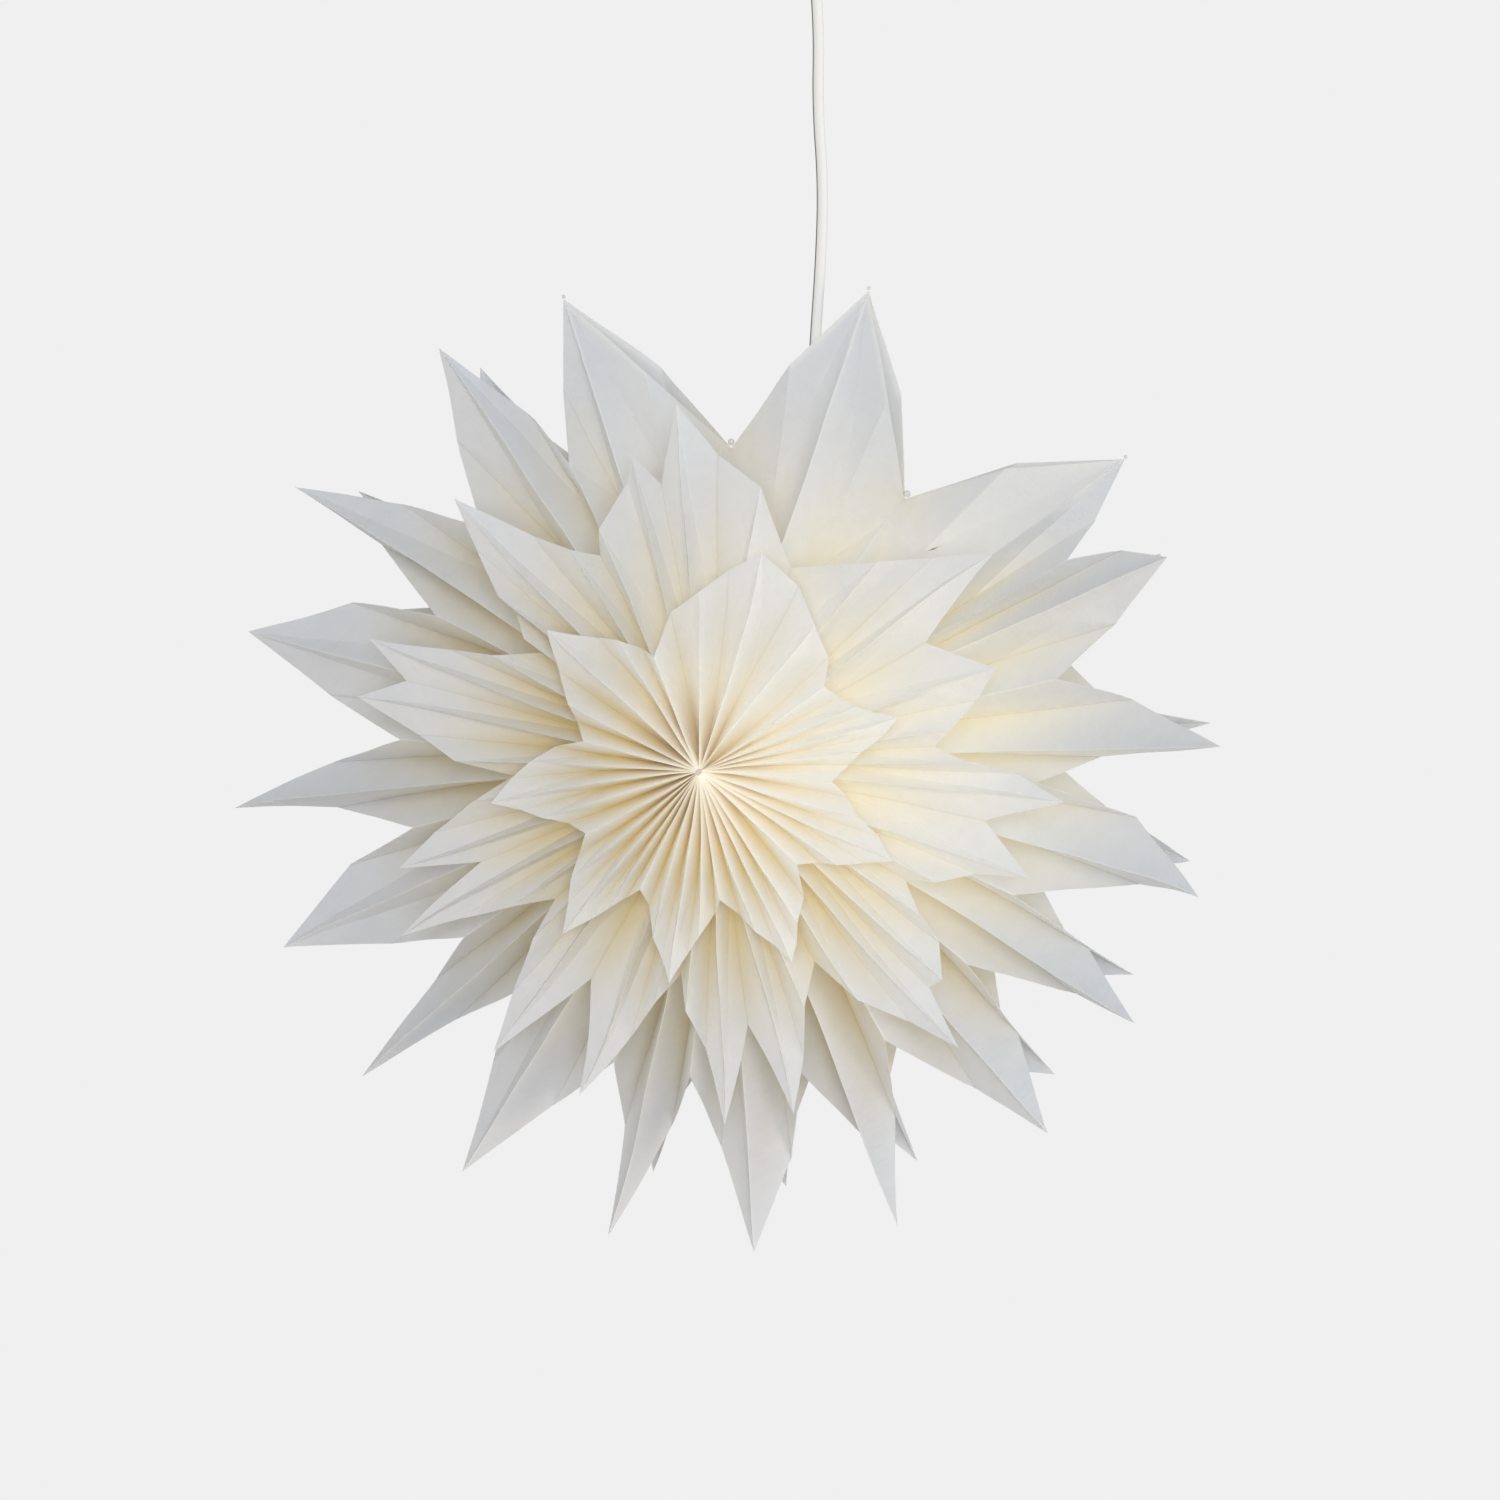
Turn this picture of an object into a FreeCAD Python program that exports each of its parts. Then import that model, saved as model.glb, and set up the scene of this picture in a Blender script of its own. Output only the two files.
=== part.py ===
"""Hanging paper star lamp: two mirrored halves of pleated, cut paper round a small bulb on a cord.

Millimetres, +Z up, the front of the star faces -Y. The origin is on the ceiling, at the middle of
the mounting strap's two screw holes. Each pleated sheet is one node. Its folds are straight rays
from the star's axis, ridges towards the viewer and valleys away in turn, and every pleat keeps
about one width from the gathered centre to the rim, so the relief is deep at the centre and
flatter outside. The cut that makes the points runs across the pleats.
"""

import FreeCAD
import Part
import math
import os

# ---------------------------------------------------------------- paper star
STAR_X = -39.0            # the star's axis, beside the cord
STAR_Z = -540.0           # and below the ceiling
PAPER = 0.25              # thickness of the paper
STEEPEST = 6.0            # a steep pleat is at most this many thicknesses of paper deep
GLUE_GAP = 0.3            # between two sheets that are glued or lie on each other

LARGE_REACH = 300.0       # axis to tip, the front half's outer sheet
LARGE_BACK_REACH = 281.0  # the same for the back half
BACK_TURN = 32.0          # degrees by which the back half's middle and small sheets are turned
LARGE_HOLE = 10.0         # radius of the gathered centre
LARGE_PLEAT = 48.0        # width of one pleat, fold to fold
LARGE_JOIN = 168.0        # radius at which the two halves' valleys meet
HOLLOW = 27.0             # mid-plane to the valleys at the axis, half the room for the bulb
MOUTH = 14.0              # mid-plane to the valleys at the top mouth, half its width

MIDDLE_REACH = 220.0
MIDDLE_HOLE = 8.0
MIDDLE_PLEAT = 20.0
MIDDLE_DROP = 9.0         # how far the rim falls back behind the centre

SMALL_REACH = 130.0
SMALL_HOLE = 1.6
SMALL_PLEAT = 12.0
SMALL_DROP = 2.0

FLATTEST = 0.4            # least relief of a pleat, as a share of its width
CLOSING_POWER = 3.0       # how late along a fold a closed point bends to the mid-plane

# How each sheet is cut. A corner of the cut is an angle, counter-clockwise from the right as seen
# from the front, and a share of the sheet's reach. There is one corner on every fold.

# One row per point of the large sheet: tip, valley, notch, valley, and how far the tip and the
# notch are closed to the mid-plane (1 is glued).
LARGE_CUT = [
    ((3.0, 0.98), (8.5, 0.79), (15.0, 0.68), (19.5, 0.79), 0.0, 0.0),
    ((26.0, 0.96), (28.5, 0.86), (31.0, 0.77), (33.5, 0.84), 0.1, 0.5),
    ((38.0, 0.96), (47.0, 0.78), (57.5, 0.59), (67.0, 0.76), 1.0, 1.0),
    ((75.0, 0.94), (82.5, 0.77), (93.5, 0.59), (105.0, 0.77), 1.0, 1.0),
    ((113.5, 0.96), (119.0, 0.80), (122.5, 0.66), (125.5, 0.79), 1.0, 0.6),
    ((128.5, 1.00), (136.0, 0.85), (141.0, 0.68), (148.0, 0.86), 0.5, 0.3),
    ((151.5, 1.05), (154.5, 0.86), (157.5, 0.66), (163.5, 0.88), 0.2, 0.0),
    ((169.0, 1.04), (176.5, 0.90), (180.5, 0.69), (185.5, 0.89), 0.0, 0.0),
    ((188.5, 1.07), (191.5, 0.90), (195.5, 0.69), (199.5, 0.91), 0.0, 0.0),
    ((205.0, 1.06), (211.0, 0.90), (216.0, 0.69), (218.5, 0.86), 0.0, 0.0),
    ((222.0, 1.07), (224.5, 0.88), (228.5, 0.69), (232.0, 0.89), 0.0, 0.0),
    ((237.5, 1.07), (242.0, 0.89), (249.5, 0.69), (252.0, 0.86), 0.0, 0.0),
    ((256.0, 1.05), (258.5, 0.83), (263.0, 0.67), (266.0, 0.85), 0.0, 0.0),
    ((272.5, 1.03), (276.0, 0.87), (283.0, 0.66), (286.5, 0.84), 0.0, 0.0),
    ((289.5, 1.01), (292.0, 0.82), (299.5, 0.65), (304.5, 0.84), 0.0, 0.0),
    ((311.0, 0.98), (314.5, 0.80), (320.5, 0.63), (324.5, 0.83), 0.0, 0.0),
    ((328.0, 0.96), (331.0, 0.80), (336.0, 0.63), (342.5, 0.84), 0.0, 0.0),
    ((346.0, 0.97), (351.5, 0.80), (357.0, 0.62), (360.0, 0.72), 0.0, 0.0),
]

# One row per group of the middle sheet: deep notch, two folds, tip, slit, tip, two folds.
MIDDLE_CUT = [
    ((6.0, 0.60), (10.5, 0.66), (15.5, 0.73), (21.0, 0.82),
     (31.0, 0.66), (38.5, 0.96), (44.0, 0.81), (51.0, 0.72)),
    ((69.0, 0.56), (79.5, 0.76), (90.0, 0.82), (96.5, 0.96),
     (102.0, 0.75), (105.5, 0.85), (108.5, 0.78), (116.5, 0.69)),
    ((121.0, 0.63), (124.5, 0.68), (131.0, 0.78), (137.0, 1.00),
     (141.0, 0.87), (144.0, 0.73), (146.0, 0.68), (148.5, 0.61)),
    ((151.0, 0.56), (156.5, 0.67), (160.5, 0.80), (164.0, 1.02),
     (168.5, 0.90), (172.0, 1.02), (178.0, 0.85), (182.0, 0.72)),
    ((187.0, 0.58), (191.5, 0.68), (196.5, 0.84), (201.0, 0.96),
     (205.0, 0.74), (210.0, 1.04), (213.0, 0.88), (217.0, 0.70)),
    ((221.5, 0.61), (225.0, 0.71), (229.0, 0.89), (233.0, 1.05),
     (240.0, 0.72), (248.5, 1.02), (252.0, 0.82), (256.5, 0.68)),
    ((260.0, 0.60), (264.0, 0.68), (267.5, 0.80), (272.0, 1.00),
     (276.5, 0.73), (283.5, 0.98), (286.5, 0.84), (291.5, 0.70)),
    ((297.0, 0.60), (303.0, 0.74), (307.5, 0.87), (311.5, 1.00),
     (314.5, 0.83), (318.5, 0.84), (322.5, 0.77), (326.5, 0.69)),
    ((330.0, 0.60), (335.0, 0.68), (339.0, 0.76), (342.5, 0.90),
     (350.0, 0.74), (356.5, 0.95), (360.0, 0.82), (363.0, 0.70)),
]

# One row per point of the small sheet: notch, three folds, tip, three folds.
SMALL_CUT = [
    ((-3.0, 0.60), (3.0, 0.66), (8.5, 0.74), (12.5, 0.84),
     (16.5, 0.93), (20.0, 0.82), (24.0, 0.77), (29.5, 0.71)),
    ((36.0, 0.69), (43.0, 0.77), (52.0, 0.84), (62.5, 0.94),
     (73.5, 1.02), (82.5, 0.90), (91.0, 0.80), (103.0, 0.72)),
    ((112.0, 0.55), (118.0, 0.61), (124.0, 0.69), (132.0, 0.76),
     (141.0, 0.95), (149.0, 0.80), (156.0, 0.68), (162.5, 0.63)),
    ((168.0, 0.56), (174.5, 0.71), (180.0, 0.81), (185.5, 0.92),
     (191.0, 1.02), (195.0, 0.90), (199.0, 0.80), (203.5, 0.71)),
    ((209.0, 0.63), (215.0, 0.73), (220.5, 0.82), (225.0, 0.93),
     (229.5, 1.04), (233.0, 0.91), (236.0, 0.80), (239.0, 0.72)),
    ((243.0, 0.63), (248.0, 0.70), (253.0, 0.82), (256.5, 0.92),
     (260.0, 1.01), (264.0, 0.87), (268.0, 0.77), (273.0, 0.67)),
    ((278.5, 0.59), (284.0, 0.68), (289.0, 0.77), (292.5, 0.87),
     (296.0, 0.96), (299.0, 0.89), (303.0, 0.81), (309.0, 0.73)),
    ((317.0, 0.60), (322.0, 0.67), (327.0, 0.74), (332.0, 0.84),
     (337.0, 0.95), (341.5, 0.84), (346.5, 0.74), (351.5, 0.66)),
]

# ---------------------------------------------------------------- threads, washers, glue
THREAD_RADIUS = 0.6
KNOT_RADIUS = 1.8
KNOT_THICKNESS = 1.6
WASHER_RADIUS = 14.0
WASHER_THICKNESS = 1.0
SEAT_GAP = 0.2            # between a piece and what it rests on
TIP_DOT = 1.1             # radius of the dried glue at a closed tip
NOTCH_DOT = 2.0           # and at a closed notch
NOTCH_DOT_SEAT = 1.8      # its own radii from the notch to its middle, where the cut is as wide

# ---------------------------------------------------------------- bulb and lampholder
HOLDER_X = -5.0           # axis of the bulb and its holder
BULB_Z = STAR_Z           # middle of the bulb's globe
GLOBE_RADIUS = 22.5
BULB_NECK_RADIUS = 8.5
BULB_NECK_HEIGHT = 31.0   # globe's middle to the foot of its screw cap
BULB_NECK_STRAIGHT = 3.0
BULB_CAP_RADIUS = 6.9
BULB_CAP_LENGTH = 19.0
BULB_TIP_RADIUS = 3.0
BULB_TIP_LENGTH = 2.5
BULB_TAPER = 2.0          # height of the cap's cone below the tip
BULB_WAIST = 1.5          # how far the curve into the neck sinks in

SHELL_RADIUS = 14.0
SHELL_WALL = 1.6
SHELL_LENGTH = 46.0
SHELL_RIM = 1.2           # how far the rim at the shell's mouth stands out
SHELL_RIM_HEIGHT = 4.0
HOLDER_CLEARANCE = 0.25
SLEEVE_WALL = 0.7
SLEEVE_LENGTH = 17.0
BLOCK_LENGTH = 16.0
CONTACT_WIDTH = 4.0
CONTACT_THICKNESS = 0.6
DOME_HEIGHT = 14.0
DOME_WALL = 1.8
DOME_SPIGOT = 3.0         # how far it reaches down into the shell
CLAMP_RADIUS = 6.0
CLAMP_HEIGHT = 11.0
CLAMP_FLANGE = 1.5
CLAMP_CONE = 3.0          # height of its tapered top
CLAMP_EDGE = 0.8          # thickness left at the taper's upper end

# ---------------------------------------------------------------- hanger wire
WIRE_RADIUS = 1.0
WIRE_BEND = 6.0
WIRE_END = 9.0            # length of each arm beyond the notch it carries
WIRE_SEAT = 1.9           # wire radii from the notch down to the wire, where the paper opens

# ---------------------------------------------------------------- cord
CORD_RADIUS = 3.3
# Route from the ceiling cup down to the lampholder: x and z, in the plane y = 0.
CORD_POINTS = [
    (0.0, -34.0),
    (0.0, -75.0),
    (3.4, -117.0),
    (2.6, -160.0),
    (6.2, -206.0),
    (4.9, -250.0),
    (1.2, -304.0),
    (-1.4, -352.0),
    (-4.3, -392.0),
    (-5.0, -426.0),
    (-5.0, -455.0),
]
CORD_ARC_SHARE = 0.45     # of the shorter run, taken by each bend
CORD_FIT = 0.05           # around the cord in its bush and its clamp

# ---------------------------------------------------------------- ceiling fitting
CUP_RADIUS = 44.0
CUP_FOOT_RADIUS = 16.0
CUP_SIDE = 22.0           # height of its straight side, below the ceiling
CUP_HEIGHT = 58.0
CUP_WALL = 2.0
STRAP_LENGTH = 76.0
STRAP_WIDTH = 16.0
STRAP_THICKNESS = 1.5
STRAP_TAB = 14.0
SCREW_SPACING = 50.0
SCREW_HOLE_RADIUS = 2.5
SIDE_SCREW_RADIUS = 2.0
SIDE_SCREW_HEAD = 3.6
SIDE_SCREW_HEAD_LENGTH = 2.2
BUSH_RADIUS = 6.5
BUSH_FLANGE_RADIUS = 9.0
BUSH_FLANGE = 2.0
BUSH_LENGTH = 10.0
BLOCK_SIZE = (24.0, 15.0, 14.0)
BLOCK_WIRE_RADIUS = 1.6

UP = FreeCAD.Vector(0, 0, 1)


def vector(x, y, z):
    return FreeCAD.Vector(x, y, z)


# ================================================================ pleated sheets

def ray(angle, radius):
    turn = math.radians(angle)
    return radius * math.cos(turn), radius * math.sin(turn)


def pleat_relief(radius, pleat, folds):
    """Depth from ridge to valley of a pleat of this width, in a ring of this many folds."""
    opened = radius * 2 * math.pi / folds / pleat
    return pleat * math.sqrt(max(1 - opened * opened, FLATTEST * FLATTEST))


def large_valley(radius, mouth):
    """Distance of a large sheet's valley from the mid-plane."""
    if mouth:
        return HOLLOW + (MOUTH - HOLLOW) * radius / LARGE_REACH
    along = min(radius / LARGE_JOIN, 1.0)
    return GLUE_GAP / 2 + HOLLOW * math.cos(along * math.pi / 2)


def large_ridge(radius, reach, closing):
    """Distance of a large sheet's ridge from the mid-plane, bent in at a closed point."""
    folds = 4 * len(LARGE_CUT)
    free = large_valley(radius, False) + pleat_relief(radius, LARGE_PLEAT, folds)
    closed = GLUE_GAP / 2
    return free + (closed - free) * closing * (radius / reach) ** CLOSING_POWER


def large_outline(reach):
    """Folds of a large sheet as (angle, reach, depth function), in order round the star."""
    folds = []
    for index, row in enumerate(LARGE_CUT):
        tip_closed, notch_closed = row[4:]
        next_closed = LARGE_CUT[(index + 1) % len(LARGE_CUT)][4]
        closings = (tip_closed, min(tip_closed, notch_closed),
                    notch_closed, min(notch_closed, next_closed))
        for place, ((angle, share), closing) in enumerate(zip(row, closings)):
            far = share * (LARGE_REACH if closing == 1 else reach)
            depth = ridge_of(far, closing) if place % 2 == 0 else valley_of(closing == 1)
            folds.append((angle, far, depth))
    return folds


def ridge_of(reach, closing):
    return lambda radius: large_ridge(radius, reach, closing)


def valley_of(mouth):
    return lambda radius: large_valley(radius, mouth)


def stacked(base, reach, drop, pleat, count, is_ridge):
    """Depth function of a fold of a sheet that lies on the one below, at depth base."""
    def depth(radius):
        relief = pleat_relief(radius, pleat, count) if is_ridge else 0.0
        return base + relief - drop * radius / reach
    return depth


def stacked_outline(rows, base, reach, drop, pleat, ridges_even, turn):
    """Folds of a middle or small sheet, its valleys at depth base on the axis."""
    cut = [corner for row in rows for corner in row]
    folds = []
    for place, (angle, share) in enumerate(cut):
        is_ridge = (place % 2 == 0) == ridges_even
        depth = stacked(base, reach, drop, pleat, len(cut), is_ridge)
        folds.append((angle + turn, share * reach, depth))
    return folds


def sheet(folds, rings, side, ridges_even):
    """Closed solid of a pleated sheet. side is -1 for the front half, 1 for the back."""
    count = len(folds)
    inner = []
    outer = []
    depths = []
    for angle, reach, depth in folds:
        radii = [*rings, reach]
        depths.append([(radius, depth(radius)) for radius in radii])
    for index, (angle, reach, depth) in enumerate(folds):
        column_in = []
        column_out = []
        for ring, (radius, distance) in enumerate(depths[index]):
            skin = PAPER * steepness(folds, depths, index, ring)
            x, z = ray(angle, radius)
            column_in.append(vector(STAR_X + x, side * distance, STAR_Z + z))
            column_out.append(vector(STAR_X + x, side * (distance + skin), STAR_Z + z))
        inner.append(column_in)
        outer.append(column_out)
    faces = []
    last = len(rings)
    for index in range(count):
        after = (index + 1) % count
        ridge_first = (index % 2 == 0) == ridges_even
        for ring in range(last):
            for skin in (inner, outer):
                a = skin[index][ring]
                b = skin[index][ring + 1]
                c = skin[after][ring + 1]
                d = skin[after][ring]
                halves = ((a, b, d), (b, c, d)) if ridge_first else ((a, b, c), (a, c, d))
                faces.extend(facet(corners) for corners in halves)
        for ring in (0, last):
            faces.append(facet((inner[index][ring], inner[after][ring],
                                outer[after][ring], outer[index][ring])))
    solid = Part.Solid(Part.Shell(faces))
    if solid.Volume < 0:
        solid.reverse()
    return solid


def steepness(folds, depths, index, ring):
    """Depth of the paper along Y at a fold, in thicknesses of paper."""
    total = 0.0
    for step in (-1, 1):
        other = (index + step) % len(folds)
        turn = abs(folds[other][0] - folds[index][0])
        turn = math.radians(min(turn, 360 - turn))
        radius, distance = depths[index][ring]
        run = radius * turn
        rise = depths[other][ring][1] - distance
        total += math.hypot(run, rise) / run / 2
    return min(total, STEEPEST)


def facet(corners):
    return Part.Face(Part.makePolygon([*corners, corners[0]]))


LARGE_RINGS = [LARGE_HOLE, 0.21 * LARGE_REACH, 0.38 * LARGE_REACH, 0.545 * LARGE_REACH]
MIDDLE_RINGS = [MIDDLE_HOLE, 0.30 * MIDDLE_REACH]
SMALL_RINGS = [SMALL_HOLE, 0.24 * SMALL_REACH, 0.50 * SMALL_REACH]

SKIN = STEEPEST * PAPER
LARGE_TOP = HOLLOW + GLUE_GAP / 2 + LARGE_PLEAT + SKIN
MIDDLE_BASE = LARGE_TOP + GLUE_GAP
MIDDLE_TOP = MIDDLE_BASE + MIDDLE_PLEAT + SKIN
SMALL_BASE = MIDDLE_TOP + GLUE_GAP
SMALL_TOP = SMALL_BASE + SMALL_PLEAT + SKIN


def paper_half(name, side, reach, turn):
    """The three sheets, the thread and the washer of one half of the star."""
    large = large_outline(reach)
    middle = stacked_outline(MIDDLE_CUT, MIDDLE_BASE, MIDDLE_REACH, MIDDLE_DROP, MIDDLE_PLEAT,
                             False, turn)
    small = stacked_outline(SMALL_CUT, SMALL_BASE, SMALL_REACH, SMALL_DROP, SMALL_PLEAT,
                            True, turn)
    return {
        name + "_large_rosette": sheet(large, LARGE_RINGS, side, True),
        name + "_middle_rosette": sheet(middle, MIDDLE_RINGS, side, False),
        name + "_small_rosette": sheet(small, SMALL_RINGS, side, True),
        name + "_centre_thread": centre_thread(side),
        name + "_card_washer": card_washer(side),
    }


def along_axis(radius, near, far, side):
    """A disc or rod on the star's axis, between two distances from the mid-plane."""
    start = vector(STAR_X, side * near, STAR_Z)
    return Part.makeCylinder(radius, far - near, start, vector(0, side, 0))


def washer_far():
    """Distance of the washer's outer face from the mid-plane, just inside every valley."""
    return min(large_valley(WASHER_RADIUS, mouth) for mouth in (False, True)) - SEAT_GAP


def centre_thread(side):
    """Thread through the three sheets, with a flat knot on each end."""
    front = SMALL_TOP + SEAT_GAP
    back = washer_far() - WASHER_THICKNESS - SEAT_GAP
    rod = along_axis(THREAD_RADIUS, back - KNOT_THICKNESS, front + KNOT_THICKNESS, side)
    knot = along_axis(KNOT_RADIUS, front, front + KNOT_THICKNESS, side)
    tie = along_axis(KNOT_RADIUS, back - KNOT_THICKNESS, back, side)
    return rod.fuse([knot, tie]).removeSplitter()


def card_washer(side):
    disc = along_axis(WASHER_RADIUS, washer_far() - WASHER_THICKNESS, washer_far(), side)
    hole = along_axis(THREAD_RADIUS + SEAT_GAP, 0.0, washer_far() + 1, side)
    return disc.cut(hole)


def glue_dots():
    """Dried glue just outside each closed tip, and in each closed notch."""
    dots = []
    for row in LARGE_CUT:
        tip = (*row[0], row[4], TIP_DOT, 1.0)
        notch = (*row[2], row[5], NOTCH_DOT, NOTCH_DOT_SEAT)
        for angle, share, closed, size, seat in (tip, notch):
            if closed == 1:
                x, z = ray(angle, share * LARGE_REACH + seat * size + SEAT_GAP)
                dots.append(Part.makeSphere(size, vector(STAR_X + x, 0, STAR_Z + z)))
    return Part.makeCompound(dots)


# ================================================================ turned pieces

def turned(outline, x=0.0):
    """Solid of revolution about the vertical at x. outline is a closed list of (radius, z);
    a third value makes the step to that point an arc through the middle point given there."""
    points = [vector(x + corner[0], 0, corner[1]) for corner in outline]
    edges = []
    for index, corner in enumerate(outline):
        start = points[index - 1]
        end = points[index]
        if len(corner) == 3:
            middle = vector(x + corner[2][0], 0, corner[2][1])
            edges.append(Part.Arc(start, middle, end).toShape())
        elif start.distanceToPoint(end) > 0:
            edges.append(Part.makeLine(start, end))
    face = Part.Face(Part.Wire(edges))
    return face.revolve(vector(x, 0, 0), UP, 360)


def ring_of(inner, outer, low, high, x=0.0):
    return turned([(inner, low), (outer, low), (outer, high), (inner, high)], x)


CAP_FOOT = BULB_Z + BULB_NECK_HEIGHT
CAP_TOP = CAP_FOOT + BULB_CAP_LENGTH
BULB_TOP = CAP_TOP + BULB_TIP_LENGTH
SHELL_FOOT = CAP_FOOT - SHELL_WALL
SHELL_TOP = SHELL_FOOT + SHELL_LENGTH
DOME_TOP = SHELL_TOP + DOME_HEIGHT
CLAMP_TOP = DOME_TOP + CLAMP_HEIGHT
BLOCK_FOOT = BULB_TOP + CONTACT_THICKNESS + 2 * SEAT_GAP
SLEEVE_RADIUS = BULB_CAP_RADIUS + HOLDER_CLEARANCE
CORD_BORE = CORD_RADIUS + CORD_FIT


def bulb():
    """Globe, neck, screw cap and contact tip, sealed as one piece."""
    meet = math.sqrt(GLOBE_RADIUS ** 2 - (GLOBE_RADIUS * 0.8) ** 2)
    shoulder = BULB_Z + meet
    wide = GLOBE_RADIUS * 0.8
    neck = (wide + BULB_NECK_RADIUS) / 2 - BULB_WAIST
    middle = (shoulder + CAP_FOOT - BULB_NECK_STRAIGHT) / 2
    return turned([
        (0, BULB_Z - GLOBE_RADIUS),
        (wide, shoulder, (GLOBE_RADIUS, BULB_Z)),
        (BULB_NECK_RADIUS, CAP_FOOT - BULB_NECK_STRAIGHT, (neck, middle)),
        (BULB_NECK_RADIUS, CAP_FOOT - SEAT_GAP),
        (BULB_CAP_RADIUS, CAP_FOOT - SEAT_GAP),
        (BULB_CAP_RADIUS, CAP_TOP - BULB_TAPER),
        (BULB_TIP_RADIUS, CAP_TOP),
        (BULB_TIP_RADIUS, BULB_TOP),
        (0, BULB_TOP),
    ], HOLDER_X)


def lampholder_shell():
    """Plain tube with a rim at its mouth and a floor that the bulb's cap passes through."""
    bore = SHELL_RADIUS - SHELL_WALL
    rim = SHELL_RADIUS + SHELL_RIM
    opening = BULB_NECK_RADIUS + HOLDER_CLEARANCE
    return turned([
        (opening, SHELL_FOOT),
        (rim, SHELL_FOOT),
        (rim, SHELL_FOOT + SHELL_RIM_HEIGHT),
        (SHELL_RADIUS, SHELL_FOOT + SHELL_RIM_HEIGHT + SHELL_RIM),
        (SHELL_RADIUS, SHELL_TOP),
        (bore, SHELL_TOP),
        (bore, SHELL_FOOT + SHELL_WALL),
        (opening, SHELL_FOOT + SHELL_WALL),
    ], HOLDER_X)


def lampholder_dome():
    """Domed cap on the shell, with a spigot inside it and a flat top round the clamp."""
    bore = SHELL_RADIUS - SHELL_WALL - SEAT_GAP
    flat = CLAMP_RADIUS + 2 * WIRE_RADIUS + CLAMP_FLANGE
    bulge = (SHELL_RADIUS + flat) / 2 + DOME_WALL / 2
    half = SHELL_TOP + DOME_HEIGHT * 0.6
    foot = SHELL_TOP + SEAT_GAP
    spigot = SHELL_TOP - DOME_SPIGOT
    return turned([
        (bore - DOME_WALL, spigot),
        (bore, spigot),
        (bore, foot),
        (SHELL_RADIUS, foot),
        (flat, DOME_TOP, (bulge, half)),
        (CLAMP_RADIUS - CLAMP_FLANGE, DOME_TOP),
        (CLAMP_RADIUS - CLAMP_FLANGE, DOME_TOP - DOME_WALL),
        (flat - DOME_WALL, DOME_TOP - DOME_WALL),
        (bore - DOME_WALL, foot, (bulge - DOME_WALL, half - DOME_WALL)),
    ], HOLDER_X)


def cord_clamp():
    """Nipple that grips the cord: its stem sits in the dome's hole, its collar on the dome."""
    stem = CLAMP_RADIUS - CLAMP_FLANGE - SEAT_GAP
    collar = DOME_TOP + SEAT_GAP
    foot = DOME_TOP - DOME_WALL - CLAMP_FLANGE
    return turned([
        (CORD_BORE, foot),
        (stem, foot),
        (stem, collar),
        (CLAMP_RADIUS, collar),
        (CLAMP_RADIUS, CLAMP_TOP - CLAMP_CONE),
        (CORD_BORE + CLAMP_EDGE, CLAMP_TOP),
        (CORD_BORE, CLAMP_TOP),
    ], HOLDER_X)


def lampholder_sleeve():
    foot = CAP_FOOT + SEAT_GAP
    return ring_of(SLEEVE_RADIUS, SLEEVE_RADIUS + SLEEVE_WALL, foot, foot + SLEEVE_LENGTH, HOLDER_X)


def contact_block():
    """Heat-proof core: a collar round the sleeve's top and a solid head above the bulb."""
    outside = SHELL_RADIUS - SHELL_WALL - SEAT_GAP
    inside = SLEEVE_RADIUS + SLEEVE_WALL + SEAT_GAP
    foot = CAP_FOOT + SEAT_GAP
    spigot = SHELL_TOP - DOME_SPIGOT - SEAT_GAP
    top = min(BLOCK_FOOT + BLOCK_LENGTH, spigot)
    return turned([
        (inside, foot),
        (outside, foot),
        (outside, top),
        (0, top),
        (0, BLOCK_FOOT),
        (inside, BLOCK_FOOT),
    ], HOLDER_X)


def centre_contact():
    """Flat brass strip on the block's underside that the bulb's tip presses."""
    corner = vector(HOLDER_X - SLEEVE_RADIUS, -CONTACT_WIDTH / 2, BULB_TOP + SEAT_GAP)
    return Part.makeBox(2 * SLEEVE_RADIUS, CONTACT_WIDTH, CONTACT_THICKNESS, corner)


# ================================================================ bent rod: wire and cord

def rounded_path(points, radii):
    """Straight runs joined by tangent arcs, one radius for each inner point."""
    edges = []
    start = points[0]
    for index in range(1, len(points) - 1):
        corner = points[index]
        into = (corner - points[index - 1]).normalize()
        out = (points[index + 1] - corner).normalize()
        half = into.getAngle(out) / 2
        radius = radii[index - 1]
        back = radius * math.tan(half)
        first = corner - into * back
        second = corner + out * back
        inward = (out - into).normalize()
        middle = corner + inward * (radius / math.cos(half) - radius)
        edges.append(Part.makeLine(start, first))
        edges.append(Part.Arc(first, middle, second).toShape())
        start = second
    edges.append(Part.makeLine(start, points[-1]))
    return Part.Wire(edges)


def rod_along(path, radius):
    """Round rod swept along a wire of lines and arcs."""
    edge = path.OrderedEdges[0]
    start = edge.valueAt(edge.FirstParameter)
    heading = edge.tangentAt(edge.FirstParameter)
    section = Part.Wire(Part.makeCircle(radius, start, heading))
    return path.makePipeShell([section], True, True)


def arc_radii(points):
    """Radius of each bend of a cord: as large as the two runs beside it allow."""
    radii = []
    for index in range(1, len(points) - 1):
        into = points[index] - points[index - 1]
        out = points[index + 1] - points[index]
        half = into.getAngle(out) / 2
        radii.append(CORD_ARC_SHARE * min(into.Length, out.Length) / math.tan(half))
    return radii


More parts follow.
